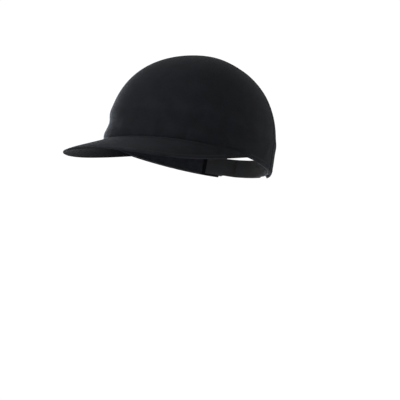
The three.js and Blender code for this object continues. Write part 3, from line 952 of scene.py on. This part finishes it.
def one_stitch():
    """A small ball whose poles point along the stitch, one unit in size."""
    lying = (0, math.radians(90), 0)
    bpy.ops.object.select_all(action="DESELECT")
    bpy.ops.mesh.primitive_uv_sphere_add(segments=6, ring_count=5, radius=0.5, rotation=lying)
    bpy.ops.object.transform_apply(location=False, rotation=True, scale=False)
    bpy.ops.object.shade_smooth()
    return bpy.context.object


def copies_at(name, pattern, centres, ahead, outward, size):
    """Joined copies of a pattern piece, at places and in directions given on the rim's plane."""
    bpy.ops.object.select_all(action="DESELECT")
    ahead = ahead / np.linalg.norm(ahead, axis=1, keepdims=True)
    across = np.cross(outward, ahead)
    across /= np.linalg.norm(across, axis=1, keepdims=True)
    axes = np.stack([ahead, across, np.cross(ahead, across)], -1)
    for centre, turned in zip(in_frame(centres), rim_axes.T @ axes):
        placed = np.column_stack([turned * size * MM, centre])
        mesh = pattern.data.copy()
        mesh.transform(Matrix([*placed.tolist(), [0, 0, 0, 1]]))
        copy = bpy.data.objects.new(name, mesh)
        bpy.context.collection.objects.link(copy)
        copy.select_set(True)
    bpy.context.view_layer.objects.active = copy
    bpy.ops.object.join()
    copy.name = copy.data.name = name
    return copy


def on_line(at, reach, values):
    """Values on a line of points, read at these distances along it."""
    return np.stack([np.interp(at, reach, values[:, k]) for k in range(3)], -1)


def sewn(name, body, slot, lines, material=thread):
    """Rows of stitches along lines, each a pair: its points, and which way the cloth faces there."""
    rows = []
    for points, facing in lines:
        reach = np.concatenate([[0], np.cumsum(np.linalg.norm(np.diff(points, axis=0), axis=1))])
        count = max(2, round(reach[-1] / STITCH_PITCH))
        at = (np.arange(count) + 0.5) * reach[-1] / count
        ahead = on_line(at + 0.4, reach, points) - on_line(at - 0.4, reach, points)
        rows.append((on_line(at, reach, points), ahead, on_line(at, reach, facing)))
    centres, ahead, outward = (np.concatenate(part) for part in zip(*rows))
    return settle(copies_at(name, stitch, centres, ahead, outward, STITCH_SIZE), body, slot, material)


stitch = one_stitch()
print("one stitch has", len(stitch.data.polygons), "faces")

# %% [markdown]
# A line on the crown runs between two places, each an azimuth and a height. Outside it lies on the worn
# cloth, and inside on whatever is sewn there, at that piece's inset, where it faces the head.

# %% Lines on the crown
LINE_POINTS = 160
HEM_ROW = 4.5  # above the rim
SWEATBAND_ROWS = (2.6, 25.8)


def between(start, end):
    """Azimuths and heights from one place to another."""
    share = np.linspace(0, 1, LINE_POINTS)
    return start[0] + (end[0] - start[0]) * share, start[1] + (end[1] - start[1]) * share


def outside_line(azimuth, height):
    """Points on the outside of the crown, and which way it faces there."""
    climb = climb_at(height)
    return crown_cloth_point(azimuth, climb, -0.05), outward_at(azimuth, climb)


def inside_line(azimuth, height, inset):
    """Points on something sewn inside the crown, and which way it faces there."""
    return inside_cloth(azimuth, height, inset), -outward_at(azimuth, climb_at(height))


def beside_seam(seam, away, low):
    """A line that keeps its distance from a seam, in millimetres, up to near the top."""
    height = np.linspace(low, 105, LINE_POINTS)
    narrowing = np.sqrt(1 - (height / CROWN_HEIGHT) ** 2)
    return outside_line(seam + away / (MM_PER_DEGREE * narrowing), height)


def outline_of(start, end):
    """The four sides of a patch, a little in from its edges."""
    start, end = start + 1.2, end - 1.2
    low, high = PATCH_HEIGHTS[0] + 1.8, PATCH_HEIGHTS[1] - 1.8
    corners = [(start, low), (end, low), (end, high), (start, high)]
    return [between(a, b) for a, b in zip(corners, corners[1:] + corners[:1])]


seam_lines = [
    beside_seam(seam, away, low)
    for seam, low in ((SIDE_SEAM, 4.0), (-SIDE_SEAM, 4.0), (180.0, 53.0))
    for away in (-2.6, 2.6)
]
hem_lines = [outside_line(*between((side * 87.0, HEM_ROW), (side * 151.0, HEM_ROW))) for side in (1, -1)]
sewn("crown_stitching", "cap", "crown_fabric", seam_lines + hem_lines)
sweatband_lines = [inside_line(*between((-138.0, h), (138.0, h)), 3.45) for h in SWEATBAND_ROWS]
sewn("sweatband_stitching", "cap", "lining", sweatband_lines)
label_line = inside_line(*between((111.0, 16.6), (123.0, 16.6)), 4.0)
sewn("label_stitching", "cap", "label", [label_line], pale_thread)
for side, start, end in PATCHES:
    loop_lines = [inside_line(*line, 2.75) for line in outline_of(start, end)]
    sewn(f"{side}_loop_stitching", "cap", "hook_and_loop", loop_lines)

# %% [markdown]
# The visor has one row on each side, five millimetres in from its edge, and the binding one row on the
# outside. The outer strap's rows lie along it and, like it, ride on no body.

# %% Lines on the visor, the binding and the straps
FROM_EDGE = 5.0
STRAP_ROWS = (4.8, 20.2)
STRAP_BARS = (166.5, 208.0, 214.0)


def visor_line(underneath):
    """A line that keeps its distance from the visor's edge."""
    seam, direction, length, up = visor_lines(np.linspace(-0.9, 0.9, 240))
    away = length - FROM_EDGE
    upper, under = visor_faces(length, away)
    depth = under + 0.05 if underneath else upper - 0.1
    return seam + direction * away[:, None] - up * depth[:, None], -up if underneath else up


def binding_line():
    """A line on the outside of the binding, near its inner edge."""
    x, z = arch_outline(np.linspace(0.02, 0.98, 240), 2.6)
    return behind(x, z, -0.72), behind(x, z, -1.0) - behind(x, z, 0.0)


def strap_line(start, end, inset_at):
    """A line on the outside of a strap."""
    azimuth, height = between(start, end)
    climb = climb_at(height)
    return crown_point(azimuth, climb, inset_at(azimuth) - 0.05), outward_at(azimuth, climb)


sewn("visor_stitching", "cap", "crown_fabric", [visor_line(False), visor_line(True)])
sewn("binding_stitching", "cap", "webbing", [binding_line()])
outer_ends = [((165.5, h), (215.0, h)) for h in STRAP_ROWS] + [((a, 5.5), (a, 19.5)) for a in STRAP_BARS]
outer_lines = [strap_line(*ends, outer_inset) for ends in outer_ends]
outer_stitches = sewn("outer_strap_stitching", None, "webbing", outer_lines)
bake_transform(outer_stitches)
inner_lines = [strap_line((158.0, h), (189.0, h), even(STRAP_INSET)) for h in STRAP_ROWS]
sewn("inner_strap_stitching", "cap", "webbing", inner_lines)
bpy.data.objects.remove(stitch)

# %% [markdown]
# ## Hooks
# The hook side of the closure is a bed of little bent nylon hooks. One hook is a six-sided stem that is
# extruded up and spun over, and copies of it stand in rows. Real ones are about a millimetre apart, and
# these are drawn 1.6 mm apart so that the rows can be seen.

# %% Beds of hooks
HOOK_PITCH = 1.6


def one_hook():
    """A bent hook, one unit tall."""
    bpy.ops.object.select_all(action="DESELECT")
    bpy.ops.mesh.primitive_circle_add(vertices=6, radius=0.14, fill_type="NGON")
    bpy.ops.object.mode_set(mode="EDIT")
    bpy.ops.mesh.select_all(action="SELECT")
    bpy.ops.mesh.extrude_region_move(TRANSFORM_OT_translate={"value": (0, 0, 0.6)})
    bpy.ops.mesh.spin(steps=4, angle=math.radians(200), center=(0.28, 0, 0.6), axis=(0, 1, 0))
    bpy.ops.mesh.select_all(action="SELECT")
    bpy.ops.mesh.remove_doubles(threshold=0.001)
    bpy.ops.mesh.normals_make_consistent(inside=False)
    bpy.ops.object.mode_set(mode="OBJECT")
    bpy.ops.object.shade_smooth()
    return bpy.context.object


def hook_bed(name, body, start, end, low, high, inset, tall, facing):
    """Rows of hooks on a tape. Facing is 1 outwards and -1 inwards."""
    columns = round((end - start) * MM_PER_DEGREE / HOOK_PITCH)
    rows = round((high - low) / HOOK_PITCH)
    across, up = np.meshgrid((np.arange(columns) + 0.5) / columns, (np.arange(rows) + 0.5) / rows)
    azimuth = start + (end - start) * across.ravel()
    climb = climb_at(low + (high - low) * up.ravel())
    centres = crown_point(azimuth, climb, inset)
    ahead = crown_point(azimuth + 0.5, climb, inset) - crown_point(azimuth - 0.5, climb, inset)
    outward = outward_at(azimuth, climb) * facing
    bed = copies_at(name, hook, centres, ahead, outward, (0.8, 0.8, tall))
    settle(bed, body, "hook_and_loop", hook_ground)


hook = one_hook()
hook_bed("hook_tape_hooks", "strap", 168, 189, 5.5, 19.5, 1.25, 0.45, -1)
for side, start, end in PATCHES:
    hook_bed(f"{side}_patch_hooks", "insert", start + 1.5, end - 1.5, 43.5, 62.5, 3.65, 0.7, 1)
bpy.data.objects.remove(hook)

# %% [markdown]
# ## Stage
# The cap is worn by nobody here, so it hangs in the air, well above a plain white floor. The camera
# stands a little lower than the rim and looks at the front from the wearer's left, turned ten degrees
# about its own axis, as a cap is seen on a tilted head. A long lens keeps the outline nearly flat.

# %% Camera
CAMERA_AZIMUTH, CAMERA_ELEVATION, CAMERA_ROLL = 43.52, -10.39, 10.33  # measured on the rim's plane
CAMERA_DISTANCE = 1.8
AIM_RIGHT, AIM_DOWN = 0.0080, 0.0444  # from the rim's centre to where the camera looks

turn, rise, roll = (math.radians(a) for a in (CAMERA_AZIMUTH, CAMERA_ELEVATION, CAMERA_ROLL))
out = math.cos(rise)
towards = np.array([math.sin(turn) * out, -math.cos(turn) * out, math.sin(rise)]) @ rim_axes
level = np.cross(rim_up, towards)
level /= np.linalg.norm(level)
upright = np.cross(towards, level)
camera_right = level * math.cos(roll) + upright * math.sin(roll)
camera_up = upright * math.cos(roll) - level * math.sin(roll)
camera_at = rim_centre + towards * CAMERA_DISTANCE
towards = towards * CAMERA_DISTANCE - camera_right * AIM_RIGHT + camera_up * AIM_DOWN
towards /= np.linalg.norm(towards)
camera_right -= towards * (camera_right @ towards)
camera_right /= np.linalg.norm(camera_right)
camera_up = np.cross(towards, camera_right)

bpy.ops.object.camera_add()
camera = bpy.context.object
camera.name = "camera"
camera.data.sensor_width = 36
camera.data.lens = 150
axes = np.array([camera_right, camera_up, towards, camera_at]).T
camera.matrix_world = Matrix([*axes.tolist(), [0, 0, 0, 1]])
bpy.context.scene.camera = camera
print("the camera is at", [round(x, 3) for x in camera.location])


# %% [markdown]
# ### Light
# Black cloth needs light from the side to show its form. A large soft lamp stands on the left of the
# picture, a weak one in front opens the shadows, and one far round to the left lights a thin cool rim.
# The floor and the surround are so bright that they show as plain white, with no horizon.

# %% Floor and light
def soft_lamp(name, direction, distance, size, power, colour="#ffffff"):
    """A square area lamp that looks at the cap, from a direction in the camera's right, up and back."""
    away = camera_right * direction[0] + camera_up * direction[1] + towards * direction[2]
    away = Vector(away).normalized()
    bpy.ops.object.light_add(type="AREA", location=away * distance + Vector(rim_centre))
    lamp = bpy.context.object
    lamp.name = name
    lamp.rotation_mode = "QUATERNION"
    lamp.rotation_quaternion = away.to_track_quat("Z", "Y")
    lamp.data.size = size
    lamp.data.energy = power
    lamp.data.color = linear(colour)[:3]
    return lamp


bpy.ops.mesh.primitive_plane_add(size=60, location=(0, 0, -1.6))
floor = bpy.context.object
floor.name = "floor"
floor_paint, floor_tree, floor_shader = start_material("matt_white_floor", Roughness=0.9)
floor_shader.inputs["Base Color"].default_value = linear("#ffffff")
floor.data.materials.append(floor_paint)

soft_lamp("key", (-1.0, 0.32, 0.5), 1.6, 0.9, 20)
soft_lamp("front", (0.2, 0.2, 1.0), 2.6, 1.6, 3)
soft_lamp("rim", (-0.5, 0.0, -1.0), 1.6, 0.7, 38, "#e6efff")

world = bpy.data.worlds.new("pale_surround")
bpy.context.scene.world = world
world.use_nodes = True
world.node_tree.nodes["Background"].inputs["Color"].default_value = linear("#ffffff")
world.node_tree.nodes["Background"].inputs["Strength"].default_value = 1.04
bpy.context.scene.view_settings.view_transform = "Standard"
